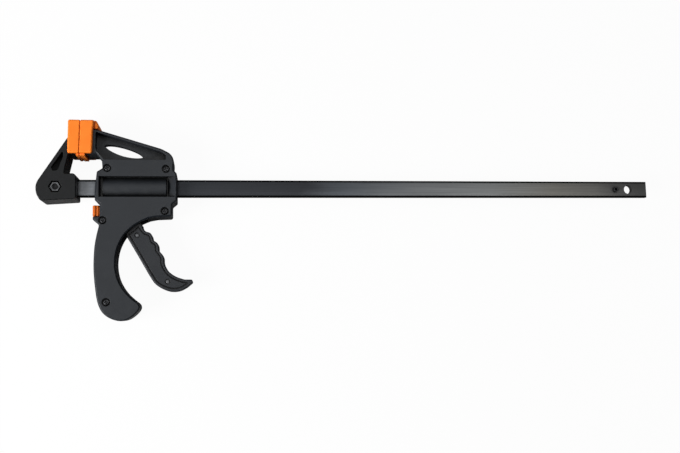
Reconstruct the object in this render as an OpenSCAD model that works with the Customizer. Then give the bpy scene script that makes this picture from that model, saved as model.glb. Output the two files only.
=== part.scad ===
// Quick release bar clamp, lying on its side: X runs along the bar towards its free end,
// Y points from the grip to the jaw tips, Z is the clamp's thickness.
// The origin is on the bar's middle line, in the plane where the two pads meet.

/* [Bar] */
// Height of the bar's section
bar_h = 17; // [14:0.5:18]
// Thickness of the bar's section
bar_t = 5; // [4:0.25:6]
// Bevel along the bar's edges
bar_bevel = 0.6; // [0.2:0.1:1]
// Greatest opening between the pads
capacity = 457; // [150:1:900]
// Diameter of the stop pin
stop_pin_d = 5; // [3:0.5:6]
// Length of the stop pin
stop_pin_len = 11; // [9:0.5:16]
// Diameter of the hang hole
hang_hole_d = 9; // [6:0.5:10]
// From the stop pin to the hang hole
hang_pitch = 15; // [12:0.5:30]
// From the hang hole to the end of the bar
bar_tail = 21; // [10:0.5:40]

/* [Jaws and pads] */
// From the bar's middle line to the top of the pads
reach = 63.5; // [61:0.5:90]
// Height of a pad
pad_h = 32; // [26:0.5:34]
// Width of a pad across the jaw
pad_w = 38; // [37:0.5:46]
// Depth of a pad along the bar
pad_d = 11.2; // [10:0.2:13]
// Thickness of a pad's clamping wall
pad_face = 4; // [3:0.25:5]
// Thickness of a pad's top wall
pad_top = 3.4; // [2:0.2:5]
// Width of both jaws
jaw_w = 30; // [28:0.5:31]
// From the clamping plane to the back of the fixed jaw
jaw_l = 40; // [39:0.2:48]
// Depth of the bar inside the fixed jaw, from the clamping plane
bar_in_jaw = 31; // [28:0.5:34]
// From the clamping plane to the jaw bolt
jaw_bolt_x = 22.7; // [20:0.1:24]
// Diameter of the jaw bolt's thread
jaw_bolt_d = 5; // [4:0.5:6]
// Size of the jaw nut across its flats
jaw_nut_af = 8; // [7:0.5:9]
// Size of the nut's recess across its flats
nut_recess_af = 10.6; // [9.5:0.1:12]

/* [Housing] */
// Thickness of the housing, both shells together
body_w = 31; // [30:0.5:34]
// Length of the housing along the bar
body_l = 76; // [72:0.5:90]
// Thickness of the shells' walls
wall = 2.4; // [1.8:0.1:2.8]
// Bevel round the shells' outer edges
shell_bevel = 1.2; // [0.4:0.1:1.4]
// Radius of the spring barrel's outside
barrel_r = 13; // [12.9:0.1:13.4]
// Width of the trough that the barrel lies in
trough_w = 19.7; // [18:0.1:20.4]
// Thickness of the arm's web
web_t = 8; // [5:0.5:12]
// Width of the raised rims along the arm
rim_w = 2.4; // [1.8:0.1:3.4]
// From the bar's middle line to the bottom of the grip
grip_len = 127; // [122:0.5:140]

/* [Trigger and drive] */
// Width of the trigger
trigger_w = 18; // [16:0.5:19]
// From the trigger's pivot to its lowest point
trigger_len = 72.4; // [66:0.2:74]
// Diameter of the trigger's pivot pin
trigger_pin_d = 4; // [3:0.25:5]
// Thickness of the steel lever in the trigger
lever_t = 3; // [2:0.25:4]
// Diameter of the trigger's rivets
rivet_d = 3; // [2.5:0.25:3.5]
// Depth of the panels in the trigger's faces
panel_depth = 0.4; // [0.2:0.1:1.2]
// Width of the groove round each panel
groove_w = 1.3; // [0.8:0.1:1.8]
// Depth of the groove below the trigger's faces
groove_depth = 2.2; // [1.4:0.1:3]
// Step from the trigger's faces down to its neck inside the housing
neck_step = 2.6; // [1:0.2:4]
// Thickness of each drive plate
drive_plate_t = 2.5; // [2:0.25:3]
// Radius of the drive plates round the bar
drive_plate_r = 11.2; // [10.6:0.1:11.3]
// Diameter of the drive spring's wire
drive_wire = 1.3; // [1:0.1:1.4]
// Turns in the drive spring
drive_turns = 8; // [5:1:12]

/* [Brake and release] */
// Thickness of the brake plate
brake_t = 3.5; // [3:0.25:4]
// Lean of the brake plate at rest, in degrees
brake_lean = 5; // [3:0.5:6]
// Diameter of the brake spring's wire
brake_wire = 0.7; // [0.5:0.1:0.9]
// Turns in the brake spring
brake_turns = 5; // [4:1:6]
// Width of the release button
button_w = 13; // [10:0.5:15]
// Height of the release button
button_h = 10.9; // [9:0.1:11]

/* [Screws] */
// Thread diameter of the housing screws
screw_d = 3.2; // [2.5:0.1:3.6]
// Head diameter of the housing screws
screw_head_d = 6.2; // [5.5:0.1:6.6]
// Length of the housing screws under the head
screw_len = 22; // [18:0.5:24]

/* [Hidden] */
$fn = 48;

plastic_black = [0.11, 0.12, 0.13];
steel_black = [0.16, 0.16, 0.17];
steel_bright = [0.62, 0.63, 0.65];
pad_orange = [0.98, 0.42, 0.08];

e = 0.01;           // overshoot of cuts
fit = 0.1;          // between pieces of one body
run = 0.3;          // between pieces that move past each other

// Clamping plane, pads and jaw tips
pad_x0 = run / 2;
tip_x0 = pad_x0 + pad_face + fit;
tip_y0 = reach - pad_h;
tip_y1 = reach - pad_top - fit;

// Housing: its ends along the bar and its faces
half_w = body_w / 2;
nose_x = pad_d + 2.3;
tail_x = nose_x + body_l;
body_x0 = nose_x + 6.8;
body_x1 = tail_x - 3.2;
recess_x = nose_x + 4.6;
lip_x = nose_x - 1.7;
guide_h = bar_h / 2 + 5.2;
panel_y = 26;
body_y0 = -28.5;
button_y1 = -16.6;
button_y0 = -28.3;
cavity_z = half_w - wall;
slot_y = bar_h / 2 + run;
slot_z = bar_t / 2 + run;

// Tunnel for the plates and the drive spring
tunnel_r = barrel_r - 1.4;
tunnel_x0 = nose_x + 9.4;
tunnel_x1 = tail_x - 9.5;
block_y = tunnel_r + 1.2;
tab_z = 5.5;
tab_y1 = 13.6;

// Drive plates and the trigger that pushes them
drive_x = nose_x + 28.5;
drive_tab_y0 = -20;
finger_r = 2.5;
finger_x = drive_x - run - finger_r;
finger_y = -14.5;
pivot = [finger_x + 2.4, finger_y - 13.5];
hub_r = 6.5;
pivot_boss_r = trigger_pin_d / 2 + 3;
trigger_k = trigger_len / 72.4;

// Brake plate, leaning on a ledge at its top corner
brake_h = 36;
ledge = [nose_x + 12.7, tab_y1 + fit];
brake_foot_x = ledge[0] - brake_h * sin(brake_lean);
rib_x = nose_x + 19.8;
rib_t = 1.6;
brake_spring_y = -21;
brake_face_x = ledge[0] + (ledge[1] - brake_spring_y) * -sin(brake_lean) + brake_t * cos(brake_lean);

// Places of the housing screws; they stay with the walls they close
screws = [[body_x0 + 4.3, panel_y - 8.3], [body_x1 - 7, panel_y - 8.8],
    [body_x1 - 8.1, body_y0 + 4.8], [recess_x + 2.6, body_y0 - 3.7],
    [recess_x + 6.4, -grip_len + 17.7]];
screw_head_z = half_w - 3.4;
screw_head_h = 2.2;
counterbore_r = screw_head_d / 2 + 0.8;
boss_r = counterbore_r + 1.2;

// ---- Shared geometry ----

function unit(v) = v / norm(v);

// One corner of an outline, rounded to radius r between the points a and c
function corner(a, b, c, r, n) =
    r <= 0 ? [b] :
    let (u = unit(a - b), v = unit(c - b), half = acos(u * v) / 2,
        centre = b + unit(u + v) * r / sin(half),
        from = b + u * r / tan(half) - centre,
        turn = cross(u, v) > 0 ? -1 : 1, start = atan2(from[1], from[0]))
    [for (i = [0:n]) let (t = start + turn * (180 - 2 * half) * i / n)
        centre + r * [cos(t), sin(t)]];

// A closed outline from corners [x, y, radius]
function rounded(path, n = 5) = let (m = len(path), xy = [for (p = path) [p[0], p[1]]])
    [for (i = [0:m - 1]) each corner(xy[(i + m - 1) % m], xy[i], xy[(i + 1) % m], path[i][2], n)];

// A smooth curve through the points, as corners of radius 0
function blend(a, b, c, d, t) =
    0.5 * (2 * b + (c - a) * t + (2 * a - 5 * b + 4 * c - d) * t * t
    + (3 * b - a - 3 * c + d) * t * t * t);
function curve(p, n = 3) = let (m = len(p) - 1)
    [for (i = [0:m - 1], j = [0:n - 1])
        let (q = blend(p[max(i - 1, 0)], p[i], p[i + 1], p[min(i + 2, m)], j / n)) [q[0], q[1], 0],
    [p[m][0], p[m][1], 0]];

// The outline moved inwards by d; its points run anticlockwise
function inset(p, d) = let (m = len(p))
    [for (i = [0:m - 1])
        let (f = unit(p[i] - p[(i + m - 1) % m]), g = unit(p[(i + 1) % m] - p[i]),
            nf = [-f[1], f[0]], ng = [-g[1], g[0]])
        p[i] + d * (nf + ng) / (1 + nf * ng)];

// The outline p cut into triangles, one free corner after another; ids are its points' numbers
function is_free(p, ids, k) = let (n = len(ids), a = p[ids[(k + n - 1) % n]], b = p[ids[k]],
        c = p[ids[(k + 1) % n]])
    cross(b - a, c - b) > 0 && len([for (i = [2:n - 2]) let (q = p[ids[(k + i) % n]])
        if (cross(b - a, q - a) >= 0 && cross(c - b, q - b) >= 0 && cross(a - c, q - c) >= 0) i]) == 0;
function free_corner(p, ids, k = 0) =
    k == len(ids) - 1 || is_free(p, ids, k) ? k : free_corner(p, ids, k + 1);
function triangles(p, ids, done = []) = len(ids) == 3 ? concat(done, [ids]) :
    let (n = len(ids), k = free_corner(p, ids))
    triangles(p, [for (i = [1:n - 1]) ids[(k + i) % n]],
        concat(done, [[ids[(k + n - 1) % n], ids[k], ids[(k + 1) % n]]]));

// A solid through outlines of equal length at rising heights: rings = [[z, outline], ...]
module stack(rings) {
    n = len(rings[0][1]);
    m = len(rings) - 1;
    polyhedron([for (ring = rings) for (p = ring[1]) [p[0], p[1], ring[0]]],
        concat(triangles(rings[0][1], [for (i = [0:n - 1]) i]),
            [for (k = [0:m - 1], i = [0:n - 1])
                [k * n + i, (k + 1) * n + i, (k + 1) * n + (i + 1) % n, k * n + (i + 1) % n]],
            [for (t = triangles(rings[m][1], [for (i = [0:n - 1]) i]))
                [m * n + t[2], m * n + t[1], m * n + t[0]]]));
}

// A plate from z0 to z1, bevelled round its upper edge, or round both
module slab(outline, z0, z1, bevel, both = false) {
    top = inset(outline, bevel);
    stack(both ? [[z0, top], [z0 + bevel, outline], [z1 - bevel, outline], [z1, top]]
        : [[z0, outline], [z1 - bevel, outline], [z1, top]]);
}

module box(from, to) {
    translate(from) cube(to - from);
}

// A cylinder along Z from z0 to z1 at the place p
module post(p, z0, z1, r) {
    translate([p[0], p[1], z0]) cylinder(h = z1 - z0, r = r);
}

module hex_prism(af, z0, z1) {
    translate([0, 0, z0]) cylinder(h = z1 - z0, r = af / sqrt(3), $fn = 6);
}

// A coil spring along X: its wire's middle runs from x0 to x1 at the radius r
module coil(x0, x1, r, wire, turns, steps = 20, sides = 6) {
    n = turns * steps;
    pitch = (x1 - x0) / turns;
    slope = atan2(pitch, 2 * PI * r);
    points = [for (i = [0:n], j = [0:sides - 1])
        let (a = 360 * i / steps, b = 360 * j / sides,
            out = r + wire / 2 * cos(b), side = wire / 2 * sin(b))
        [x0 + (x1 - x0) * i / n + side * cos(slope),
            out * cos(a) + side * sin(slope) * sin(a),
            out * sin(a) - side * sin(slope) * cos(a)]];
    polyhedron(points, concat([[for (j = [0:sides - 1]) j]],
        [for (i = [0:n - 1], j = [0:sides - 1])
            [i * sides + j, (i + 1) * sides + j,
                (i + 1) * sides + (j + 1) % sides, i * sides + (j + 1) % sides]],
        [[for (j = [sides - 1:-1:0]) n * sides + j]]));
}

// ---- Bar and fixed jaw ----

stop_x = tail_x + capacity + stop_pin_d / 2;
hang_x = stop_x + hang_pitch;
bar_end = hang_x + bar_tail;

module bar() {
    section = [[-bar_h / 2, -bar_t / 2], [bar_h / 2, -bar_t / 2],
        [bar_h / 2, bar_t / 2], [-bar_h / 2, bar_t / 2]];
    color(steel_black) difference() {
        translate([-bar_in_jaw, 0, 0]) rotate([90, 0, 90])
            linear_extrude(bar_end + bar_in_jaw)
                polygon(rounded([for (p = section) [p[0], p[1], bar_bevel]], 3));
        post([-jaw_bolt_x, 0], -bar_t, bar_t, jaw_bolt_d / 2 + fit);
        post([stop_x, 0], -bar_t, bar_t, stop_pin_d / 2);
        post([hang_x, 0], -bar_t, bar_t, hang_hole_d / 2);
    }
}

jaw_top = bar_h / 2 + 4.1;
jaw_bottom = -bar_h / 2 - 3.1;
jaw_outline = rounded([[-3.8, jaw_bottom, 1.5], [-3.8, jaw_top, 3.5], [-14.6, jaw_top, 1],
    [-14, jaw_top + 5, 6], [-pad_d + 0.4, tip_y0, 0], [-tip_x0, tip_y0, 1], [-tip_x0, tip_y1, 1],
    [-pad_d + 0.4, tip_y1, 1], [-pad_d + 0.4, reach - 14.8, 1], [-jaw_l - 0.7, 2.2, 14],
    [-jaw_l + 0.5, -7.2, 14], [-jaw_l + 4.2, jaw_bottom - 1.9, 3]]);
jaw_pocket = rounded([[-15.6, tip_y0 + 3.2, 0.8], [-26.6, jaw_top + 5.6, 1.5],
    [-24.6, jaw_top + 1.8, 2], [-20.4, jaw_top + 3.2, 2], [-15.6, tip_y0 - 3, 1.5]]);
nut_depth = 6;
pocket_depth = 10;
pocket_slope = 22;
nut_h = jaw_bolt_d;
nut_bore_r = jaw_bolt_d / 2 + 0.02;

module fixed_jaw() {
    bolt = [-jaw_bolt_x, 0];
    color(plastic_black) difference() {
        slab(jaw_outline, -jaw_w / 2, jaw_w / 2, 0.7, both = true);
        box([-bar_in_jaw - fit, -bar_h / 2 - fit, -bar_t / 2 - fit],
            [0, bar_h / 2 + fit, bar_t / 2 + fit]);
        post(bolt, -jaw_w, jaw_w, jaw_bolt_d / 2 + fit);
        translate(bolt) hex_prism(nut_recess_af, jaw_w / 2 - nut_depth, jaw_w);
        post(bolt, -jaw_w, -jaw_w / 2 + nut_depth, jaw_bolt_d * 0.85 + 0.5);
        // Lightening pockets on both sides, deep beside the pad and running out downwards
        for (side = [0, 1]) mirror([0, 0, side]) intersection() {
            linear_extrude(jaw_w) polygon(jaw_pocket);
            translate([-17, tip_y0 - 1, jaw_w / 2 - pocket_depth]) rotate([0, 0, 62])
                rotate([0, pocket_slope, 0]) translate([-jaw_l, -jaw_l / 2, 0]) cube(2 * jaw_l);
        }
    }
}

// Bolt with a round head on the far side, its end inside the nut
module jaw_bolt() {
    seat = -jaw_w / 2 + nut_depth;
    color(steel_black) difference() {
        union() {
            post([-jaw_bolt_x, 0], seat - e, jaw_w / 2 - nut_depth + nut_h * 0.52, jaw_bolt_d / 2);
            post([-jaw_bolt_x, 0], seat - jaw_bolt_d * 0.9, seat, jaw_bolt_d * 0.85);
        }
        translate([-jaw_bolt_x, 0, 0])
            hex_prism(jaw_bolt_d * 0.8, seat - jaw_bolt_d, seat - jaw_bolt_d * 0.4);
    }
}

// Locking nut, its rim standing round a wider mouth
module jaw_nut() {
    seat = jaw_w / 2 - nut_depth;
    color(steel_black) difference() {
        translate([-jaw_bolt_x, 0, 0]) hex_prism(jaw_nut_af, seat, seat + nut_h);
        post([-jaw_bolt_x, 0], seat - 1, jaw_w, nut_bore_r);
        post([-jaw_bolt_x, 0], seat + nut_h * 0.66, jaw_w, nut_bore_r + 0.55);
    }
}

// Hollow roll pin, driven through the bar
module stop_pin() {
    color(steel_black) difference() {
        post([stop_x, 0], -stop_pin_len / 2, stop_pin_len / 2, stop_pin_d / 2);
        post([stop_x, 0], -stop_pin_len, stop_pin_len, stop_pin_d / 2 - 0.9);
    }
}

// Soft cap over a tip of the width jaw, open at its back and below; drawn for the moving jaw
module pad(jaw) {
    front = rounded([[pad_x0, tip_y0, 1], [pad_d, tip_y0, 1.6],
        [pad_d, reach, 1.6], [pad_x0, reach, 1]]);
    color(pad_orange) difference() {
        slab(front, -pad_w / 2, pad_w / 2, 0.8, both = true);
        box([tip_x0 - fit, tip_y0 - 1, -jaw / 2 - fit],
            [pad_d + 1, reach - pad_top, jaw / 2 + fit]);
    }
}

module moving_pad() {
    pad(body_w);
}

module fixed_pad() {
    mirror([1, 0, 0]) pad(jaw_w);
}

// ---- Housing ----

// Height along the grip: 0 at its neck, 1 at its foot
function grip_y(t) = -37 - t * (grip_len - 37);

grip_back = [[3.6, 0.02], [1.9, 0.1], [0.1, 0.22], [-0.6, 0.37], [-0.4, 0.5], [0.9, 0.65],
    [3.1, 0.8], [7, 0.9], [13.5, 0.965], [22, 1], [29, 0.995], [34.7, 0.962], [39.7, 0.91],
    [41.7, 0.865], [40.5, 0.824], [36.3, 0.785], [30.3, 0.722], [25.2, 0.645], [21.4, 0.556],
    [19.5, 0.46], [19.2, 0.37], [20.2, 0.283], [22.5, 0.2], [26.1, 0.122], [31, 0.056], [37, 0]];
grip_curve = curve([for (p = grip_back) [nose_x + p[0], grip_y(p[1])]]);
belly_curve = [[nose_x + 43, -33.2, 0], [nose_x + 49.5, -30.4, 0], [nose_x + 57, body_y0 - 0.5, 0]];

lower_outline = concat([
    [body_x0, panel_y, 0], [body_x0, panel_y - 8.4, 1.5], [nose_x + 1.6, guide_h + 0.6, 1.5],
    [nose_x, -2, 0], [nose_x, -guide_h + 0.4, 1.5], [recess_x, button_y1, 0],
    [recess_x, button_y0, 0], [lip_x, button_y0, 1.6], [lip_x, button_y0 - 3.4, 2],
    [recess_x - 0.8, -36.6, 1.5]],
    grip_curve, belly_curve,
    [[body_x1 - 1.3, body_y0, 2], [body_x1 - 1.3, -guide_h - 3.5, 1.5], [tail_x, -guide_h + 0.4, 1.5],
    [tail_x, guide_h - 0.8, 1.8], [body_x1, guide_h + 2.6, 1.5]]);

shell_outline = rounded(concat([[tip_x0, tip_y0, 1.6], [pad_d + 3.6, tip_y0, 1.5],
    [body_x0 - 0.6, panel_y - 0.5, 2]],
    [for (i = [1:len(lower_outline) - 1]) lower_outline[i]],
    [[body_x1 + 0.8, panel_y + 4.6, 11], [body_x1 - 11.5, panel_y + 10.9, 6], [pad_d, tip_y1 - 3.9, 1],
    [pad_d - 0.8, tip_y1, 1.6], [tip_x0, tip_y1, 1.6]]));
cavity_outline = rounded(concat(lower_outline, [[body_x1, panel_y, 0]]));

// Recess in the arm, between its rims and the housing's flat panel
arm_recess = rounded([[pad_d + 2.6, tip_y1 - 4.6 - rim_w * 1.05, 1], [pad_d + 2.4, tip_y0 + 5.6, 3],
    [pad_d + 3.8, tip_y0 + 0.2 + rim_w, 3], [body_x0 - 1.6 + rim_w, panel_y, 0.5],
    [body_x1 - 7.2, panel_y, 1], [body_x1 - 4.4 - rim_w, panel_y + 4.6, 2],
    [body_x1 - 12, panel_y + 10.4 - rim_w, 6]]);

// Pointed opening through the arm's web, between a lower and an upper curve
function web_point(u, v) = [body_x0 + u, panel_y + v * (tip_y0 - panel_y + 12) / 17.5];
web_low = curve([web_point(0.3, 15.4), web_point(4.5, 11.6), web_point(11, 8), web_point(18.6, 5.2),
    web_point(26.5, 3.7), web_point(33.4, 3.5), web_point(37.3, 4.3)]);
web_high = curve([web_point(37.3, 4.3), web_point(33, 8.3), web_point(25.5, 11.8),
    web_point(17.8, 14.3), web_point(10.4, 15.9), web_point(4, 16.3), web_point(0.3, 15.4)]);
web_hole = [for (side = [web_low, web_high], i = [0:len(side) - 2]) [side[i][0], side[i][1]]];

trigger_slot = [[pivot[0] - 10.6, -57.5], [pivot[0] - 4.2, -57.5], [pivot[0] + 20.5, -34.5],
    [pivot[0] + 19, pivot[1] + pivot_boss_r + fit], [pivot[0] - 8.6, pivot[1] + pivot_boss_r + fit]];

// The hollow inside a shell, leaving the guide block round the bar, the bosses and ribs
module hollow() {
    difference() {
        offset(delta = -wall) polygon(cavity_outline);
        translate([nose_x + 1, -block_y]) square([body_l - 2, 2 * block_y]);
        for (p = screws) translate(p) circle(r = boss_r);
        translate(pivot) circle(r = pivot_boss_r);
        for (t = [0.25, 0.42, 0.58]) translate([nose_x + 1, grip_y(t) - 0.8]) square([20, 1.6]);
        // Rib that the brake spring pushes against
        translate([rib_x, brake_spring_y - 5.5]) square([rib_t, 15]);
    }
}

// One half of the housing, on the side z > 0
module half_shell() {
    trough_z = half_w - 7.4;
    difference() {
        union() {
            difference() {
                slab(shell_outline, -1, half_w, shell_bevel);
                translate([0, 0, web_t / 2]) linear_extrude(half_w) polygon(arm_recess);
                translate([0, 0, -2]) linear_extrude(half_w) polygon(web_hole);
                translate([0, 0, -2]) linear_extrude(cavity_z + 2) hollow();
                translate([0, trough_w / 2, 0]) rotate([90, 0, 0]) linear_extrude(trough_w)
                    polygon([[nose_x + 3.4, half_w + e], [nose_x + 4.6, trough_z],
                        [tail_x - 8.6, trough_z], [tail_x - 0.8, half_w + e]]);
            }
            // The spring barrel that shows in the trough
            intersection() {
                translate([body_x0, 0, 0]) rotate([0, 90, 0])
                    cylinder(h = tunnel_x1 - body_x0 - 0.6, r = barrel_r);
                box([nose_x, -trough_w / 2 - 1, 0], [tail_x, trough_w / 2 + 1, half_w]);
            }
        }
        // Slot for the bar, and the tunnel for the spring and plates
        box([nose_x - 5, -slot_y, -2], [tail_x + 5, slot_y, slot_z]);
        translate([tunnel_x0, 0, 0]) rotate([0, 90, 0])
            cylinder(h = tunnel_x1 - tunnel_x0, r = tunnel_r);
        // Room for the brake plate's and drive plates' tabs
        box([tunnel_x0, -block_y - 1, -2], [rib_x, 0, tab_z + run]);
        translate([0, 0, -2]) linear_extrude(tab_z + run + 2)
            polygon([[ledge[0] - e, ledge[1] + fit], [ledge[0] - ledge[1] * tan(brake_lean) - e, 0],
                [rib_x, 0], [rib_x, ledge[1] + fit]]);
        box([finger_x - finger_r - 1, -block_y - 1, -2], [drive_x + 13, 0, tab_z + run]);
        box([drive_x - 1, 0, -2], [drive_x + 13, tab_y1 + run, tab_z + run]);
        // Release button's way in
        box([lip_x - 1, button_y0 + 0.1, -2], [rib_x - 7.2, button_y1 - 0.1, button_w / 2 + run]);
        box([recess_x + wall, button_y0 - 0.3, -2],
            [rib_x - 4, button_y1 + 0.6, button_w / 2 + 2 + run]);
        // The trigger's slot and pin
        translate([0, 0, -2]) linear_extrude(trigger_w / 2 + run + 2) polygon(trigger_slot);
        post(pivot, -2, cavity_z, trigger_pin_d / 2 + 0.02);
        // Flat parting face at z = 0
        box([-1, -grip_len - 2, -3], [tail_x + 2, reach, 0]);
    }
}

module front_shell() {
    color(plastic_black) difference() {
        half_shell();
        for (p = screws) {
            post(p, -1, half_w + 1, screw_d / 2 + fit);
            post(p, screw_head_z, half_w + 1, counterbore_r);
        }
    }
}

module rear_shell() {
    color(plastic_black) difference() {
        mirror([0, 0, 1]) half_shell();
        for (p = screws) post(p, screw_head_z - screw_len - 1, 1, screw_d / 2 + 0.02);
    }
}

// Five screws that hold the shells together, with cross recesses
module housing_screws() {
    head = screw_head_d / 2;
    color(steel_black) for (p = screws) difference() {
        union() {
            post(p, screw_head_z - screw_len, screw_head_z + e, screw_d / 2);
            translate([p[0], p[1], screw_head_z]) rotate_extrude()
                polygon([[0, 0], [head, 0], [head, screw_head_h * 0.45],
                    [head * 0.8, screw_head_h * 0.85], [head * 0.4, screw_head_h],
                    [0, screw_head_h]]);
        }
        for (turn = [15, 105]) translate([p[0], p[1], screw_head_z + screw_head_h]) rotate([0, 0, turn])
            cube([screw_head_d * 0.6, screw_head_d * 0.15, screw_head_h * 1.1], center = true);
    }
}

module trigger_pin() {
    color(steel_bright) post(pivot, -cavity_z + 0.2, cavity_z - 0.2, trigger_pin_d / 2);
}

// ---- Trigger ----

// A point of the trigger, from its pivot; its length follows trigger_len
function at(x, y) = [pivot[0] + x, pivot[1] + y * trigger_k];

trigger_back = [at(1.8, -21), at(13.3, -41.2), at(24.2, -60.4), at(29.9, -66.9), at(38.3, -71.2),
    at(45, -72.4), at(51.6, -71.4), at(57.6, -68.3)];
trigger_hook = [at(55, -61), at(47.5, -58.4), at(41, -54), at(37.4, -49), at(35.8, -44.7),
    at(35.5, -39.8), at(34.2, -36.9)];
trigger_bump = [at(30.8, -32.8), at(30.6, -28.8), at(29.3, -25.6), at(25.6, -23)];
trigger_neck = [at(24.6, -18.8), at(22.6, -15.8), at(18.6, -14.4), at(16, -11.2), at(15.3, -8.5)];
function ends(p, r) = [p[0], p[1], r];
trigger_outline = rounded(concat(curve(trigger_back), [ends(at(63, -63.8), 1.5), ends(at(61.9, -61.1), 1.3)],
    curve(trigger_hook), curve(trigger_bump), curve(trigger_neck),
    [[pivot[0] + 9, pivot[1] + 2.2, 3], [pivot[0] + 2.5, pivot[1] + hub_r, 5],
    [pivot[0] - hub_r, pivot[1] + hub_r, 6], [pivot[0] - hub_r - 0.3, pivot[1] - 4, 5]]));
rivets = [at(10.7, -18), at(39.1, -62.7)];

// The panel on both faces, inside a groove that leaves a rim along the outline
panel_rim = 2.3;
rivet_head_r = rivet_d * 0.66;
rivet_seat = trigger_w / 2 - panel_depth - 1;
function beside(p, d) = [for (i = [0:len(p) - 1])
    let (t = unit(p[min(i + 1, len(p) - 1)] - p[max(i - 1, 0)])) p[i] + d * [-t[1], t[0]]];
trigger_panel = rounded(concat([[pivot[0] + 12, pivot[1] - 9, 1], [pivot[0] + 8, pivot[1] - 13.2, 4],
    [pivot[0] + 1.9, pivot[1] - 17.6, 0.6]],
    curve(beside(trigger_back, panel_rim)), [ends(at(58.8, -63.8), 0.8)],
    curve(beside(trigger_hook, panel_rim)), curve(beside(trigger_bump, panel_rim)),
    curve(beside([for (i = [0:3]) trigger_neck[i]], panel_rim))));

// The neck, stepped back from the faces above the rim's upper end
trigger_neck_cut = [for (p = [[-14, -32], [-2, -19.6], [0.6, -17], [5, -11.8], [9, -7.8], [12.2, -6.6],
    [14.6, -8.6], [24, -8], [14, 9], [-14, 9]]) pivot + p];

// The lever's steel plate: finger, hub and the strip that the rivets hold
lever_hub = 5.5;
lever_half = 4;
lever_run = unit(rivets[1] - pivot);
lever_side = [lever_run[1], -lever_run[0]] * lever_half;
lever_end = rivets[1] + lever_run * lever_half;
lever_outline = rounded([[finger_x - finger_r, finger_y + finger_r, 2.2],
    [pivot[0] - lever_hub, pivot[1] + 3.5, 4], [pivot[0] - lever_hub, pivot[1] - 3.5, 4],
    ends(rivets[0] + lever_side, 8), ends(lever_end + lever_side, 3.8),
    ends(lever_end - lever_side, 3.8), ends(rivets[0] - lever_side, 8),
    [pivot[0] + lever_hub, pivot[1] - 2.5, 5], [pivot[0] + lever_hub - 0.4, pivot[1] + 4.8, 3],
    [finger_x + finger_r, pivot[1] + 6.2, 1.5], [finger_x + finger_r, finger_y + finger_r, 2.2]]);

module lever_shape(grow, half) {
    translate([0, 0, -half]) linear_extrude(2 * half) polygon(inset(lever_outline, -grow));
}

module trigger() {
    face = trigger_w / 2;
    color(plastic_black) difference() {
        slab(trigger_outline, -face, face, 0.8, both = true);
        for (z = [-face - 1, face - panel_depth]) translate([0, 0, z])
            linear_extrude(panel_depth + 1) polygon(trigger_panel);
        for (z = [-face - 1, face - groove_depth]) translate([0, 0, z]) linear_extrude(groove_depth + 1)
            difference() {
                polygon(trigger_panel);
                offset(delta = -groove_w) polygon(trigger_panel);
            }
        for (z = [-face - 1, face - neck_step]) translate([0, 0, z])
            linear_extrude(neck_step + 1) polygon(trigger_neck_cut);
        lever_shape(fit, lever_t / 2 + fit);
        post(pivot, -face - 1, face + 1, trigger_pin_d / 2 + 0.05);
        for (p = rivets) {
            post(p, -face - 1, face + 1, rivet_d / 2 + 0.05);
            post(p, rivet_seat, face + 1, rivet_head_r + 0.7);
            post(p, -face - 1, -rivet_seat, rivet_head_r + 0.7);
        }
    }
}

module trigger_lever() {
    color(steel_bright) difference() {
        lever_shape(0, lever_t / 2);
        post(pivot, -lever_t, lever_t, trigger_pin_d / 2 + 0.05);
        for (p = rivets) post(p, -lever_t, lever_t, rivet_d / 2 + 0.02);
    }
}

// Two rivets with domed heads, seated in the trigger's panels
module trigger_rivets() {
    color(steel_bright) for (p = rivets) {
        post(p, -rivet_seat, rivet_seat, rivet_d / 2);
        for (side = [0, 1]) mirror([0, 0, side]) translate([p[0], p[1], rivet_seat]) rotate_extrude()
            polygon([[0, 0], [rivet_head_r, 0], [rivet_head_r * 0.9, 0.4], [rivet_head_r * 0.6, 0.8],
                [0, 1]]);
    }
}

// ---- Drive and brake ----

// A plate with a hole for the bar, round in the tunnel, with tabs above and below
module plate(t, r, y0, hole_h) {
    difference() {
        union() {
            rotate([0, 90, 0]) cylinder(h = t, r = r);
            box([0, y0, -tab_z], [t, tab_y1, tab_z]);
        }
        box([-1, -hole_h / 2, -slot_z], [t + 1, hole_h / 2, slot_z]);
    }
}

module drive_plate_a() {
    color(steel_bright) translate([drive_x, 0, 0])
        plate(drive_plate_t, drive_plate_r, drive_tab_y0, bar_h + 2 * run);
}

module drive_plate_b() {
    color(steel_bright) translate([drive_x + drive_plate_t, 0, 0])
        plate(drive_plate_t, drive_plate_r, drive_tab_y0, bar_h + 2 * run);
}

module drive_spring() {
    x0 = drive_x + 2 * drive_plate_t + drive_wire / 2 + fit;
    color(steel_bright) coil(x0, tunnel_x1 - drive_wire / 2 - fit,
        drive_plate_r - drive_wire / 2 - 0.65, drive_wire, drive_turns);
}

module brake_plate() {
    hole_h = (bar_h + brake_t * sin(brake_lean)) / cos(brake_lean) + 2 * fit + run;
    color(steel_bright) translate([ledge[0], ledge[1], 0]) rotate([0, 0, -brake_lean])
        translate([0, -ledge[1] + fit, 0])
            plate(brake_t, drive_plate_r - run, ledge[1] - fit - brake_h, hole_h);
}

module brake_spring() {
    x0 = brake_face_x + brake_wire / 2 + run;
    color(steel_bright) translate([0, brake_spring_y, 0])
        coil(x0, rib_x - brake_wire / 2 - fit, 2.8, brake_wire, brake_turns, 14, 6);
}

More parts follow.
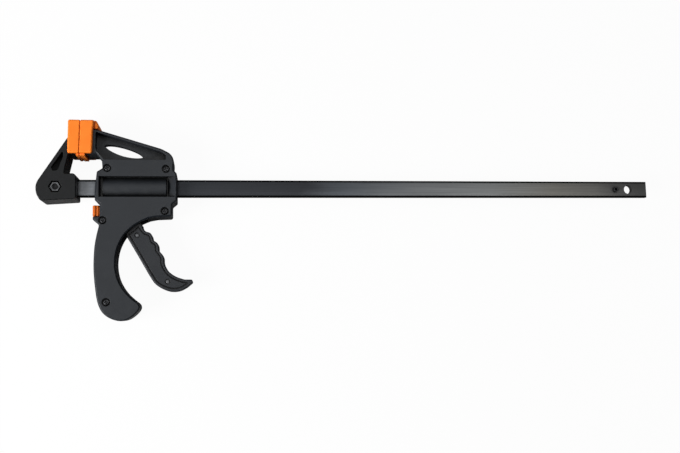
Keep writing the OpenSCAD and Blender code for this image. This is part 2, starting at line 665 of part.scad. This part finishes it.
// Button on the housing's end, with a flange inside that keeps it in
module release_button() {
    y0 = (button_y0 + button_y1 - button_h) / 2;
    head = rounded([[nose_x - 2.7, y0, 1.5], [brake_foot_x - run - 1.8 + e, y0, 0],
        [brake_foot_x - run - 1.8 + e, y0 + button_h, 0], [nose_x - 2.7, y0 + button_h, 1.5]]);
    color(pad_orange) {
        slab(head, -button_w / 2, button_w / 2, 0.6, both = true);
        box([brake_foot_x - run - 1.8, y0 + 0.2, -button_w / 2 - 1.8],
            [brake_foot_x - run, y0 + button_h - 0.2, button_w / 2 + 1.8]);
    }
}

bar();
fixed_jaw();
jaw_bolt();
jaw_nut();
fixed_pad();
stop_pin();
front_shell();
rear_shell();
housing_screws();
moving_pad();
trigger_pin();
trigger();
trigger_lever();
trigger_rivets();
drive_plate_a();
drive_plate_b();
drive_spring();
brake_plate();
brake_spring();
release_button();
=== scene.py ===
from math import cos, pi, sin

import bmesh
import bpy
from mathutils import Matrix, Vector


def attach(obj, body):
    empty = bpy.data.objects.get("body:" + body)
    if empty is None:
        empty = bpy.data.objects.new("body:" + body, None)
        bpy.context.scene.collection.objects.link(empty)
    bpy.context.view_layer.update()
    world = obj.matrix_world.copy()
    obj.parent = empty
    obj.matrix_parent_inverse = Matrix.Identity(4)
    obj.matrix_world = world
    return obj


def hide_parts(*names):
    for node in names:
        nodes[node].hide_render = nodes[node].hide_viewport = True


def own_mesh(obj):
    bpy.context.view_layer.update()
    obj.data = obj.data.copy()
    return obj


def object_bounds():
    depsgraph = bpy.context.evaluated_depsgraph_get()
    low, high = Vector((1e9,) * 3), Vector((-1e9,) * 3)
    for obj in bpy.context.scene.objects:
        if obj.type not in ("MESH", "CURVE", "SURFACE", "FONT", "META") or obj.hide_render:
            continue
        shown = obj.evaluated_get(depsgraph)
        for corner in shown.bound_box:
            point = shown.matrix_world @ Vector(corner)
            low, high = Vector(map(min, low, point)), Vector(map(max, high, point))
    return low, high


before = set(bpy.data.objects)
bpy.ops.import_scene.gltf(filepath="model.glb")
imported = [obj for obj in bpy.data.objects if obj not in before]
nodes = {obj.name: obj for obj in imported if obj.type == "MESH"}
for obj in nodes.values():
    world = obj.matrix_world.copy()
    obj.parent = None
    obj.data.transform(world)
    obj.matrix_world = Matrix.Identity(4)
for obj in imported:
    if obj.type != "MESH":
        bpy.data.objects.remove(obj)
cad_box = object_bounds()
MM = 0.001


# ---- Node helpers ----

NOISE_LOW, NOISE_HIGH = 0.3, 0.7                # most of a noise's values lie between these
AO_SAMPLES, BEVEL_SAMPLES = 6, 4
MIX_A, MIX_B, MIX_RESULT = 6, 7, 2              # the Mix node's colour sockets


def new_tree(name):
    """A material with one Principled shader; returns the material, its tree and the shader."""
    mat = bpy.data.materials.new(name)
    mat.use_nodes = True
    tree = mat.node_tree
    tree.nodes.clear()
    out = tree.nodes.new("ShaderNodeOutputMaterial")
    bsdf = tree.nodes.new("ShaderNodeBsdfPrincipled")
    tree.links.new(bsdf.outputs["BSDF"], out.inputs["Surface"])
    return mat, tree, bsdf


def feed(tree, socket, value):
    """Links another node's output to the socket, or sets a number or an (r, g, b) colour."""
    if isinstance(value, bpy.types.NodeSocket):
        tree.links.new(value, socket)
    elif isinstance(value, tuple):
        socket.default_value = (*value, 1)
    else:
        socket.default_value = value


def place(tree, stretch=(1, 1, 1)):
    """The point on the piece in metres, stretched along each axis."""
    coord = tree.nodes.new("ShaderNodeTexCoord")
    mapping = tree.nodes.new("ShaderNodeMapping")
    mapping.inputs["Scale"].default_value = stretch
    tree.links.new(coord.outputs["Object"], mapping.inputs["Vector"])
    return mapping.outputs["Vector"]


def noise(tree, where, scale, detail, rough=0.55):
    """Noise with scale waves to the metre."""
    n = tree.nodes.new("ShaderNodeTexNoise")
    n.inputs["Scale"].default_value = scale
    n.inputs["Detail"].default_value = detail
    n.inputs["Roughness"].default_value = rough
    tree.links.new(where, n.inputs["Vector"])
    return n.outputs["Fac"]


def ramp(tree, value, stops):
    """A colour ramp with stops [(position, (r, g, b)), ...]."""
    r = tree.nodes.new("ShaderNodeValToRGB")
    while len(r.color_ramp.elements) < len(stops):
        r.color_ramp.elements.new(1.0)
    for element, (at, colour) in zip(r.color_ramp.elements, stops):
        element.position = at
        element.color = (*colour, 1)
    tree.links.new(value, r.inputs["Fac"])
    return r.outputs["Color"]


def two_tone(tree, cloud, dark, light):
    """A noise as a colour from dark to light."""
    return ramp(tree, cloud, [(NOISE_LOW, dark), (NOISE_HIGH, light)])


def levels(tree, value, low, high, out_low, out_high):
    """value from low..high mapped to out_low..out_high, clamped."""
    m = tree.nodes.new("ShaderNodeMapRange")
    limits = {"From Min": low, "From Max": high, "To Min": out_low, "To Max": out_high}
    for name, number in limits.items():
        m.inputs[name].default_value = number
    tree.links.new(value, m.inputs["Value"])
    return m.outputs["Result"]


def vary(tree, cloud, low, high):
    """A noise as a number from low to high."""
    return levels(tree, cloud, NOISE_LOW, NOISE_HIGH, low, high)


def mix(tree, factor, a, b, how="MIX"):
    """Colour a where factor is 0, and b, or for MULTIPLY a times b, where it is 1."""
    m = tree.nodes.new("ShaderNodeMix")
    m.data_type = "RGBA"
    m.blend_type = how
    feed(tree, m.inputs["Factor"], factor)
    feed(tree, m.inputs[MIX_A], a)
    feed(tree, m.inputs[MIX_B], b)
    return m.outputs[MIX_RESULT]


def math_node(tree, how, a, b=0.0):
    """One step of arithmetic on numbers or sockets."""
    m = tree.nodes.new("ShaderNodeMath")
    m.operation = how
    feed(tree, m.inputs[0], a)
    feed(tree, m.inputs[1], b)
    return m.outputs["Value"]


def open_air(tree, reach, shut, full):
    """0 where other surfaces within reach leave less than shut open, 1 from full upwards."""
    ao = tree.nodes.new("ShaderNodeAmbientOcclusion")
    ao.samples = AO_SAMPLES
    ao.inputs["Distance"].default_value = reach
    return levels(tree, ao.outputs["AO"], shut, full, 0.0, 1.0)


def painted_corner_shade(tree, colour, share, reach, shut, full):
    """The colour darkened to a share of itself in corners and recesses, by how little open air each
    point has: painted shade.
    """
    dark = mix(tree, 1.0, colour, (share, share, share), "MULTIPLY")
    return mix(tree, open_air(tree, reach, shut, full), dark, colour)


def bump(tree, bsdf, heights, rounding=0.0):
    """Bumps stacked on the shader's normal: [(height, depth in metres, strength), ...].
    rounding is the radius in metres by which shading softens the edges."""
    normal = None
    if rounding:
        edge = tree.nodes.new("ShaderNodeBevel")
        edge.samples = BEVEL_SAMPLES
        edge.inputs["Radius"].default_value = rounding
        normal = edge.outputs["Normal"]
    for height, depth, strength in heights:
        b = tree.nodes.new("ShaderNodeBump")
        b.inputs["Distance"].default_value = depth
        b.inputs["Strength"].default_value = strength
        tree.links.new(height, b.inputs["Height"])
        if normal is not None:
            tree.links.new(normal, b.inputs["Normal"])
        normal = b.outputs["Normal"]
    tree.links.new(normal, bsdf.inputs["Normal"])


# ---- Materials ----

def moulded_plastic(name, dark, light, rough, grain, gloss, rounding=0.0006, reach=0.009):
    """Moulded plastic with a fine spark-eroded grain, faint flow mottling and rubbed patches."""
    mat, tree, bsdf = new_tree(name)
    where = place(tree)
    flow = noise(tree, place(tree, (1, 1, 0.4)), scale=38, detail=4)
    rubbed = noise(tree, where, scale=140, detail=5, rough=0.65)
    fine = noise(tree, where, scale=2600, detail=2)
    worn = tuple(min(1.0, c * 1.25 + 0.002) for c in light)
    colour = two_tone(tree, flow, dark, light)
    patches = levels(tree, rubbed, low=0.56, high=0.72, out_low=0.0, out_high=0.45)
    colour = mix(tree, patches, colour, worn)
    # painted shade in corners and recesses
    colour = painted_corner_shade(tree, colour, share=0.12, reach=reach, shut=0.42, full=0.92)
    tree.links.new(colour, bsdf.inputs["Base Color"])
    tree.links.new(vary(tree, rubbed, rough - 0.05, rough + 0.07), bsdf.inputs["Roughness"])
    bsdf.inputs["Specular IOR Level"].default_value = gloss
    bump(tree, bsdf, [(fine, 0.00006, grain), (flow, 0.0004, 0.12)], rounding)
    return mat


def pad_rubber():
    """Orange rubber, faintly clouded and specked, with painted shade that turns it dark red in
    corners and where the pads meet.
    """
    mat, tree, bsdf = new_tree("pad_rubber")
    where = place(tree)
    cloud = noise(tree, where, scale=60, detail=4)
    colour = two_tone(tree, cloud, (0.90, 0.195, 0.012), (0.95, 0.232, 0.020))
    speckle = noise(tree, where, scale=900, detail=2)
    specks = levels(tree, speckle, low=0.62, high=0.75, out_low=0.0, out_high=0.25)
    colour = mix(tree, specks, colour, (0.84, 0.16, 0.010))
    # painted shade: dark red in corners and in the gap where the pads meet
    unshaded = open_air(tree, reach=0.004, shut=0.35, full=0.9)
    colour = mix(tree, unshaded, (0.55, 0.060, 0.004), colour)
    tree.links.new(colour, bsdf.inputs["Base Color"])
    tree.links.new(vary(tree, cloud, 0.52, 0.66), bsdf.inputs["Roughness"])
    bsdf.inputs["Specular IOR Level"].default_value = 0.25
    grain = noise(tree, where, scale=1800, detail=2)
    bump(tree, bsdf, [(grain, 0.00008, 0.3), (cloud, 0.0003, 0.2)])
    return mat


# The bar's tones along its length, as shares of the way from X = BAR_FROM to BAR_TO, in metres
BAR_FROM, BAR_TO = -0.031, 0.585
BAR_TONES = [
    (0.06, (0.280, 0.296, 0.316)), (0.12, (0.076, 0.081, 0.091)), (0.22, (0.042, 0.045, 0.051)),
    (0.40, (0.033, 0.035, 0.040)), (0.47, (0.080, 0.088, 0.099)), (0.58, (0.154, 0.160, 0.166)),
    (0.72, (0.235, 0.243, 0.245)), (0.82, (0.240, 0.233, 0.213)), (0.905, (0.232, 0.228, 0.216)),
    (0.935, (0.155, 0.153, 0.150)), (0.98, (0.118, 0.118, 0.116)),
]
BAR_LINES = (0.030, 0.031, 0.034)               # the drawn lines' colour
BAR_EDGE_SHADE = (0.003, 0.003, 0.0033)               # the edges' painted shade
BAR_FLAT = 0.0068                               # half the height over which the painted shading changes
BAR_EDGE_FROM, BAR_EDGE_FULL = 0.0063, 0.0070   # heights from which the edges are painted black as shade


def bar_steel():
    """Blackened cold-drawn bar: lighter and darker stretches along its length, drawn lines, painted
    shading across its face and edges painted black as shade.
    """
    mat, tree, bsdf = new_tree("bar_steel")
    where = place(tree)
    parts = tree.nodes.new("ShaderNodeSeparateXYZ")
    tree.links.new(where, parts.inputs["Vector"])
    height = parts.outputs["Y"]
    along = levels(tree, parts.outputs["X"], BAR_FROM, BAR_TO, 0.0, 1.0)
    drift = noise(tree, place(tree, (1, 6, 6)), scale=14, detail=4)
    drawn = noise(tree, place(tree, (4, 900, 900)), scale=3.0, detail=3)
    tone = ramp(tree, math_node(tree, "ADD", along, vary(tree, drift, -0.02, 0.02)), BAR_TONES)
    lines = levels(tree, drawn, low=0.35, high=0.65, out_low=0.0, out_high=0.30)
    tone = mix(tree, lines, tone, BAR_LINES)
    # painted shading: the face darker towards +Y and lighter towards -Y
    painted_shading_across = levels(tree, height, -BAR_FLAT, BAR_FLAT, out_low=1.18, out_high=0.84)
    tone = mix(tree, 1.0, tone, painted_shading_across, "MULTIPLY")
    # painted shade: the bar's edges painted near black
    edge = math_node(tree, "ABSOLUTE", height)
    edge = levels(tree, edge, BAR_EDGE_FROM, BAR_EDGE_FULL, 0.0, 1.0)
    tone = mix(tree, edge, tone, BAR_EDGE_SHADE)
    # painted shade in corners and recesses
    tone = painted_corner_shade(tree, tone, share=0.08, reach=0.004, shut=0.50, full=0.92)
    tree.links.new(tone, bsdf.inputs["Base Color"])
    tree.links.new(vary(tree, drawn, 0.36, 0.50), bsdf.inputs["Roughness"])
    bsdf.inputs["Metallic"].default_value = 0.75
    bsdf.inputs["Specular IOR Level"].default_value = 0.2
    bsdf.inputs["Specular Tint"].default_value = (0.2, 0.2, 0.2, 1)
    scale_skin = noise(tree, where, scale=260, detail=4)
    bump(tree, bsdf, [(drawn, 0.00004, 0.25), (scale_skin, 0.00008, 0.15)])
    return mat


def metal(name, dark, light, metallic, rough, stretch=(1, 1, 1)):
    """Clouded metal with a fine grain."""
    mat, tree, bsdf = new_tree(name)
    where = place(tree, stretch)
    cloud = noise(tree, where, scale=220, detail=5)
    colour = two_tone(tree, cloud, dark, light)
    # painted shade in corners and recesses
    colour = painted_corner_shade(tree, colour, share=0.1, reach=0.0025, shut=0.25, full=0.85)
    tree.links.new(colour, bsdf.inputs["Base Color"])
    tree.links.new(vary(tree, cloud, rough - 0.06, rough + 0.08), bsdf.inputs["Roughness"])
    bsdf.inputs["Metallic"].default_value = metallic
    grain = noise(tree, where, scale=1500, detail=3)
    bump(tree, bsdf, [(grain, 0.00005, 0.3)], rounding=0.0003)
    return mat


housing_plastic = moulded_plastic("housing_plastic", (0.0055, 0.0079, 0.0116),
    (0.0079, 0.0108, 0.0151), rough=0.46, grain=0.35, gloss=0.48)
jaw_plastic = moulded_plastic("jaw_plastic", (0.0030, 0.0036, 0.0042),
    (0.0045, 0.0053, 0.0061), rough=0.50, grain=0.35, gloss=0.27)
trigger_plastic = moulded_plastic("trigger_plastic", (0.0070, 0.0090, 0.0125),
    (0.0098, 0.0122, 0.0160), rough=0.45, grain=0.30, gloss=0.45)
button_plastic = moulded_plastic("button_plastic", (0.58, 0.110, 0.003),
    (0.68, 0.140, 0.005), rough=0.34, grain=0.08, gloss=0.3, rounding=0.0003, reach=0.003)
rubber = pad_rubber()
steel = bar_steel()
oxide = metal("black_oxide", (0.030, 0.031, 0.034),
    (0.060, 0.062, 0.067), metallic=0.7, rough=0.34)
bolt_oxide = metal("bolt_oxide", (0.010, 0.010, 0.011),
    (0.022, 0.022, 0.024), metallic=0.7, rough=0.34)
nut_steel = metal("nut_steel", (0.096, 0.099, 0.104),
    (0.146, 0.150, 0.158), metallic=0.75, rough=0.38)
rivet_steel = metal("rivet_steel", (0.075, 0.079, 0.085),
    (0.110, 0.115, 0.122), metallic=0.15, rough=0.55)
zinc = metal("bright_zinc", (0.42, 0.43, 0.45),
    (0.58, 0.59, 0.61), metallic=0.95, rough=0.30, stretch=(1, 1, 3))


# ---- CAD nodes that stay, each in its own material ----

FINISH = {
    "front_shell": housing_plastic, "rear_shell": housing_plastic, "fixed_jaw": jaw_plastic,
    "trigger": trigger_plastic, "trigger_rivets": rivet_steel, "trigger_lever": zinc,
    "trigger_pin": zinc, "bar": steel, "stop_pin": oxide, "jaw_bolt": bolt_oxide,
    "jaw_nut": nut_steel, "housing_screws": oxide, "drive_plate_a": zinc,
    "drive_plate_b": zinc, "brake_plate": zinc,
}
for name, material in FINISH.items():
    slots = nodes[name].data.materials
    slots.clear()
    slots.append(material)


# ---- Mesh helpers ----

def metres(x, y, z):
    """A place in millimetres as one in metres."""
    return x * MM, y * MM, z * MM


def join_rings(bm, rings):
    """A closed body from rings of vertices: walls between neighbours and a cap at each end."""
    for low, high in zip(rings, rings[1:]):
        for i in range(len(low)):
            j = (i + 1) % len(low)
            bm.faces.new((low[i], low[j], high[j], high[i]))
    bm.faces.new(rings[0])
    bm.faces.new(rings[-1])


def stack(bm, outline, middle, ends, spot):
    """A body of rings, each the outline drawn in towards its middle by that end's amount.
    spot turns a point of the outline and a height into a place in metres."""
    rings = []
    for height, inward in ends:
        ring = []
        for point in outline:
            pull = (Vector(middle) - Vector(point)).normalized() * inward
            ring.append(bm.verts.new(spot(point[0] + pull.x, point[1] + pull.y, height)))
        rings.append(ring)
    join_rings(bm, rings)


def add_piece(bm, name, material):
    """The finished mesh as an object in the scene, with its faces turned outwards."""
    bmesh.ops.recalc_face_normals(bm, faces=bm.faces)
    mesh = bpy.data.meshes.new(name)
    bm.to_mesh(mesh)
    bm.free()
    mesh.materials.append(material)
    obj = bpy.data.objects.new(name, mesh)
    bpy.context.scene.collection.objects.link(obj)
    return obj


def shade_smooth(obj):
    for face in obj.data.polygons:
        face.use_smooth = True


# ---- Soft pads over the jaw tips; measures of the shapes are in millimetres ----

PAD_GAP, PAD_WALL = 0.07, 4.15                  # clamping face and the back of its wall
PAD_LEAN = 0.9                                  # how far both faces lean at the foot
PAD_FOOT, PAD_CEILING, PAD_TOP = 31.5, 60.1, 63.5
PAD_TONGUE = 1.9                                # the clamping wall hangs below the cheeks
PAD_HALF = 19.0                                 # half the pad's width
PAD_ROUND, PAD_SEAM, PAD_INSIDE = 1.7, 1.1, 0.5   # radii: outer edges, clamping face, hollow
PAD_ROUND_STEPS = 6
PAD_FLAT_EDGE = 0.4                             # edges that turn by less (radians) stay as they are
# Each pad's cheeks: half the jaw tip's width, and their back edge (x, y) from foot to top
MOVING_JAW_HALF = 15.6
MOVING_BACK = [(11.0, PAD_FOOT), (11.6, 53.0), (12.3, 59.5), (12.8, PAD_TOP)]
FIXED_JAW_HALF = 15.1
FIXED_BACK = [(11.5, PAD_FOOT), (11.3, 53.0), (11.2, 56.8), (11.2, PAD_TOP)]
# Outline (x, y) of the lip behind the moving pad's top, and its ends (z, drawn in by)
LIP = [(10.5, 55.6), (15.5, 55.6), (16.1, 56.5), (16.2, 58.2), (15.8, 60.6), (15.0, 62.4),
    (14.0, 63.2), (12.9, 63.4), (10.5, 63.4)]
LIP_MIDDLE = (11.5, 59.5)
LIP_ENDS = [(15.9, 0.9), (15.55, 0.35), (14.9, 0.0), (-17.9, 0.0), (-18.55, 0.35), (-18.9, 0.9)]


def pad_points(bm, side, jaw, back):
    """The pad's vertices by name; n_ and f_ are the ends at +Z and -Z."""
    v = {}

    def face_x(y):
        return side * PAD_GAP - PAD_LEAN * (PAD_TOP - y) / (PAD_TOP - PAD_FOOT)

    tongue = PAD_FOOT - PAD_TONGUE
    wall = side * PAD_WALL
    for end, z in (("n", PAD_HALF), ("f", -PAD_HALF)):
        inner = jaw if z > 0 else -jaw
        spots = {"face_foot": (face_x(PAD_FOOT), PAD_FOOT, z),
            "face_top": (face_x(PAD_TOP), PAD_TOP, z)}
        for i, (x, y) in enumerate(back):
            spots[f"out_{i}"] = (side * x, y, z)
            spots[f"in_{i}"] = (side * x, min(y, PAD_CEILING), inner)
        spots["seam"] = (face_x(PAD_FOOT), PAD_FOOT, inner)
        spots["wall_foot"] = (wall, PAD_FOOT, inner)
        spots["wall_ceiling"] = (wall, PAD_CEILING, inner)
        spots["tongue_face"] = (face_x(tongue), tongue, inner)
        spots["tongue_back"] = (wall, tongue, inner)
        for key, spot in spots.items():
            v[f"{end}_{key}"] = bm.verts.new(metres(*spot))
    return v


def pad_faces(count):
    """The pad's faces as strings of point names; count is the number of points in its back."""
    last = count - 1
    prior = count - 2
    faces = [
        f"n_face_top f_face_top f_out_{last} n_out_{last}",
        "n_face_foot n_face_top f_face_top f_face_foot f_seam f_tongue_face n_tongue_face n_seam",
        "n_tongue_face f_tongue_face f_tongue_back n_tongue_back",
        "n_tongue_back f_tongue_back f_wall_foot f_wall_ceiling n_wall_ceiling n_wall_foot",
        f"n_wall_ceiling f_wall_ceiling f_in_{last} n_in_{last}",
        f"n_out_{last} f_out_{last} f_out_{prior} f_in_{prior} "
        f"f_in_{last} n_in_{last} n_in_{prior} n_out_{prior}",
    ]
    for end in "nf":
        outs = " ".join(f"{end}_out_{i}" for i in range(count))
        ins = " ".join(f"{end}_in_{i}" for i in range(count))
        faces.append(f"{end}_face_top {end}_face_foot {outs}")
        faces.append(f"{end}_wall_ceiling {end}_wall_foot {ins}")
        faces.append(f"{end}_face_foot {end}_out_0 {end}_in_0 {end}_wall_foot {end}_seam")
        faces.append(f"{end}_seam {end}_wall_foot {end}_tongue_back {end}_tongue_face")
        for i in range(prior):
            faces.append(f"{end}_out_{i} {end}_out_{i + 1} {end}_in_{i + 1} {end}_in_{i}")
    return faces


def pad(name, body, node, side, jaw, back, lip=False):
    """A moulded cap over a jaw tip; side is +1 for the moving jaw, -1 for the fixed one.
    jaw is half the tip's width, back the cheeks' outline [(x, y), ...] from foot to top."""
    bm = bmesh.new()
    v = pad_points(bm, side, jaw, back)
    for face in pad_faces(len(back)):
        bm.faces.new([v[key] for key in face.split()])
    bmesh.ops.recalc_face_normals(bm, faces=bm.faces)
    weight = bm.edges.layers.float.new("bevel_weight_edge")
    seam = {vert for key, vert in v.items() if "face" in key or "seam" in key}
    inside = {vert for key, vert in v.items() if "_in_" in key or "wall" in key or "back" in key}
    for edge in bm.edges:
        ends = set(edge.verts)
        size = PAD_SEAM if ends <= seam else PAD_INSIDE if ends <= seam | inside else PAD_ROUND
        if edge.calc_face_angle() < PAD_FLAT_EDGE:
            size = 0.0
        edge[weight] = size / PAD_ROUND
    if lip:
        stack(bm, LIP, LIP_MIDDLE, LIP_ENDS, metres)
    obj = add_piece(bm, name, rubber)
    shade_smooth(obj)
    round_off = obj.modifiers.new("round", "BEVEL")
    round_off.limit_method = "WEIGHT"
    round_off.width = PAD_ROUND * MM
    round_off.segments = PAD_ROUND_STEPS
    round_off.use_clamp_overlap = False
    round_off.harden_normals = True
    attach(obj, body)
    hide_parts(node)


pad("moving_pad_skin", "carriage", "moving_pad", 1, MOVING_JAW_HALF, MOVING_BACK, lip=True)
pad("fixed_pad_skin", "bar_unit", "fixed_pad", -1, FIXED_JAW_HALF, FIXED_BACK)


# ---- Release button: a rounded thumb lip, a groove behind it and the stem ----

BUTTON_Y0, BUTTON_Y1 = -27.75, -16.85
BUTTON_BACK = 21.2
# Half the button's section (x, z), from the middle of its front to its back
BUTTON_SIDE = [(10.9, 0.0), (10.8, 2.2), (10.55, 4.2), (10.5, 5.4), (10.8, 6.2), (11.6, 6.5),
    (12.7, 6.45), (13.2, 6.1), (13.5, 5.5), (14.0, 5.3), (14.4, 5.7), (14.9, 6.15), (15.5, 6.1),
    (16.1, 5.7), (16.6, 5.1), (BUTTON_BACK, 5.1)]
BUTTON_MIDDLE = (16.0, 0.0)
BUTTON_ENDS = [(BUTTON_Y0, 0.9), (BUTTON_Y0 + 0.35, 0.35), (BUTTON_Y0 + 1.0, 0.0),
    (BUTTON_Y1 - 1.0, 0.0), (BUTTON_Y1 - 0.35, 0.35), (BUTTON_Y1, 0.9)]


def release_button():
    bm = bmesh.new()
    outline = BUTTON_SIDE[::-1] + [(x, -z) for x, z in BUTTON_SIDE[1:]]
    stack(bm, outline, BUTTON_MIDDLE, BUTTON_ENDS, lambda x, z, y: metres(x, y, z))
    obj = add_piece(bm, "button_cap", button_plastic)
    shade_smooth(obj)
    shade = obj.modifiers.new("shade", "WEIGHTED_NORMAL")
    shade.keep_sharp = True
    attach(obj, "button")
    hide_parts("release_button")


release_button()


# ---- Coil springs ----

WIRE_SIDES, TURN_STEPS = 8, 24


def spring(name, node, ends, y, radius, wire, turns):
    """A wire wound along X with a closed turn at each end; its middle line is at y."""
    bm = bmesh.new()
    rise = ends[1] - ends[0] - 2 * wire
    rings = []
    for step in range(turns * TURN_STEPS + 1):
        turn = step / TURN_STEPS
        closed_part = min(turn, 1.0) + max(turn - turns + 1, 0.0)
        open_part = min(max((turn - 1) / (turns - 2), 0.0), 1.0)
        x = ends[0] + wire * closed_part + rise * open_part
        around = 2 * pi * turn
        ring = []
        for side in range(WIRE_SIDES):
            bearing = 2 * pi * side / WIRE_SIDES
            out = radius + wire / 2 * cos(bearing)
            spot = metres(x + wire / 2 * sin(bearing), y + out * cos(around), out * sin(around))
            ring.append(bm.verts.new(spot))
        rings.append(ring)
    join_rings(bm, rings)
    for face in bm.faces:
        face.smooth = len(face.verts) == 4      # the wire's flat ends have WIRE_SIDES corners
    obj = add_piece(bm, name, zinc)
    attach(obj, "carriage")
    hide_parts(node)
    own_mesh(obj)


spring("drive_coil", "drive_spring", (47.8, 79.2), y=0.0, radius=9.9, wire=1.3, turns=8)
spring("brake_coil", "brake_spring", (27.4, 32.8), y=-21.0, radius=2.75, wire=0.68, turns=5)


# ---- Floor ----

FLOOR_HALF = 6.0                                # metres
FLOOR_COLOUR = (0.8, 0.8, 0.8)
FLOOR_MIRRORED = (0.34, 0.34, 0.34)             # the greyer floor that reflections see
FLOOR_GLOW = 0.955                              # share of plain white that the camera sees


def floor_material():
    """Nearly white to the camera; the rest of it takes the object's shadow."""
    mat = bpy.data.materials.new("floor_white")
    mat.use_nodes = True
    tree = mat.node_tree
    tree.nodes.clear()
    out = tree.nodes.new("ShaderNodeOutputMaterial")
    diffuse = tree.nodes.new("ShaderNodeBsdfDiffuse")
    glow = tree.nodes.new("ShaderNodeEmission")
    glow.inputs["Strength"].default_value = 1.0
    path = tree.nodes.new("ShaderNodeLightPath")
    mirrored = math_node(tree, "MAXIMUM", path.outputs["Is Glossy Ray"],
        path.outputs["Is Transmission Ray"])
    tree.links.new(mix(tree, mirrored, FLOOR_COLOUR, FLOOR_MIRRORED), diffuse.inputs["Color"])
    seen = math_node(tree, "MULTIPLY", path.outputs["Is Camera Ray"], FLOOR_GLOW)
    blend = tree.nodes.new("ShaderNodeMixShader")
    tree.links.new(seen, blend.inputs[0])
    tree.links.new(diffuse.outputs[0], blend.inputs[1])
    tree.links.new(glow.outputs[0], blend.inputs[2])
    tree.links.new(blend.outputs[0], out.inputs["Surface"])
    return mat


floor_z = cad_box[0][2]
floor_corners = [(x * FLOOR_HALF, y * FLOOR_HALF, floor_z)
    for x, y in ((-1, -1), (1, -1), (1, 1), (-1, 1))]
floor_mesh = bpy.data.meshes.new("floor")
floor_mesh.from_pydata(floor_corners, [], [(0, 1, 2, 3)])
floor = bpy.data.objects.new("floor", floor_mesh)
bpy.context.scene.collection.objects.link(floor)
floor.data.materials.append(floor_material())


# ---- Light: a bright patch of sky round the zenith, a dark horizon and two soft lamps ----

SKY_TOP = (-0.10, 0.12, 0.987)                  # direction of the bright patch's middle
SKY_DARK_BELOW, SKY_FULL_ABOVE = 0.62, 0.98     # cosines of the angle from that direction
SKY_DARK, SKY_FULL = 0.02, 0.55
BACKDROP = 1.19                                 # strength seen past the floor's edge

world = bpy.data.worlds.new("studio")
bpy.context.scene.world = world
world.use_nodes = True
sky = world.node_tree
sky.nodes.clear()
sky_out = sky.nodes.new("ShaderNodeOutputWorld")
background = sky.nodes.new("ShaderNodeBackground")
sky_coord = sky.nodes.new("ShaderNodeTexCoord")
sky_lean = sky.nodes.new("ShaderNodeVectorMath")
sky_lean.operation = "DOT_PRODUCT"
sky_lean.inputs[1].default_value = SKY_TOP
sky.links.new(sky_coord.outputs["Generated"], sky_lean.inputs[0])
sky_light = levels(sky, sky_lean.outputs["Value"], SKY_DARK_BELOW, SKY_FULL_ABOVE,
    SKY_DARK, SKY_FULL)
# The camera sees a pale backdrop; the object is lit by, and mirrors, the sky itself
sky_path = sky.nodes.new("ShaderNodeLightPath")
backdrop = math_node(sky, "MULTIPLY", sky_path.outputs["Is Camera Ray"], BACKDROP)
sky.links.new(math_node(sky, "MAXIMUM", sky_light, backdrop), background.inputs["Strength"])
sky.links.new(background.outputs[0], sky_out.inputs["Surface"])


def softbox(name, spot, aim, size, watts):
    """A rectangular lamp at spot that shines towards aim; both in metres."""
    light = bpy.data.lights.new(name, "AREA")
    light.shape = "RECTANGLE"
    light.size, light.size_y = size
    light.energy = watts
    obj = bpy.data.objects.new(name, light)
    obj.location = spot
    obj.rotation_euler = (Vector(aim) - Vector(spot)).to_track_quat("-Z", "Y").to_euler()
    bpy.context.scene.collection.objects.link(obj)


softbox("key", (-0.88, -0.38, 0.75), aim=(0.12, 0.0, 0.0), size=(0.7, 0.7), watts=22.0)
softbox("fill", (0.45, 0.30, 1.20), aim=(0.40, 0.0, 0.0), size=(0.9, 0.6), watts=3.2)


# ---- Camera, fitted to the photograph ----

PHOTO_WIDTH = 680                               # pixels
FOCAL_PX = 803.4                                # focal length in those pixels
SENSOR_MM = 36.0
CAMERA_SPOT = (0.11634, -0.12494, 0.79320)
YAW, PITCH, ROLL = -0.167065, 0.107893, 0.023877   # radians, from looking straight down

camera_data = bpy.data.cameras.new("camera")
camera_data.sensor_fit = "HORIZONTAL"
camera_data.sensor_width = SENSOR_MM
camera_data.lens = FOCAL_PX / PHOTO_WIDTH * SENSOR_MM
camera_data.clip_start = 0.01
camera = bpy.data.objects.new("camera", camera_data)
turned = (Matrix.Rotation(YAW, 3, "Z") @ Matrix.Rotation(PITCH, 3, "X")
    @ Matrix.Rotation(ROLL, 3, "Y"))
right, ahead, up = (Vector((v.x, v.z, -v.y)) for v in turned.col)
look = Matrix((right, up, -ahead)).transposed().to_4x4()
look.translation = Vector(CAMERA_SPOT)
camera.matrix_world = look
bpy.context.scene.collection.objects.link(camera)
bpy.context.scene.camera = camera
bpy.context.scene.view_settings.view_transform = "Standard"
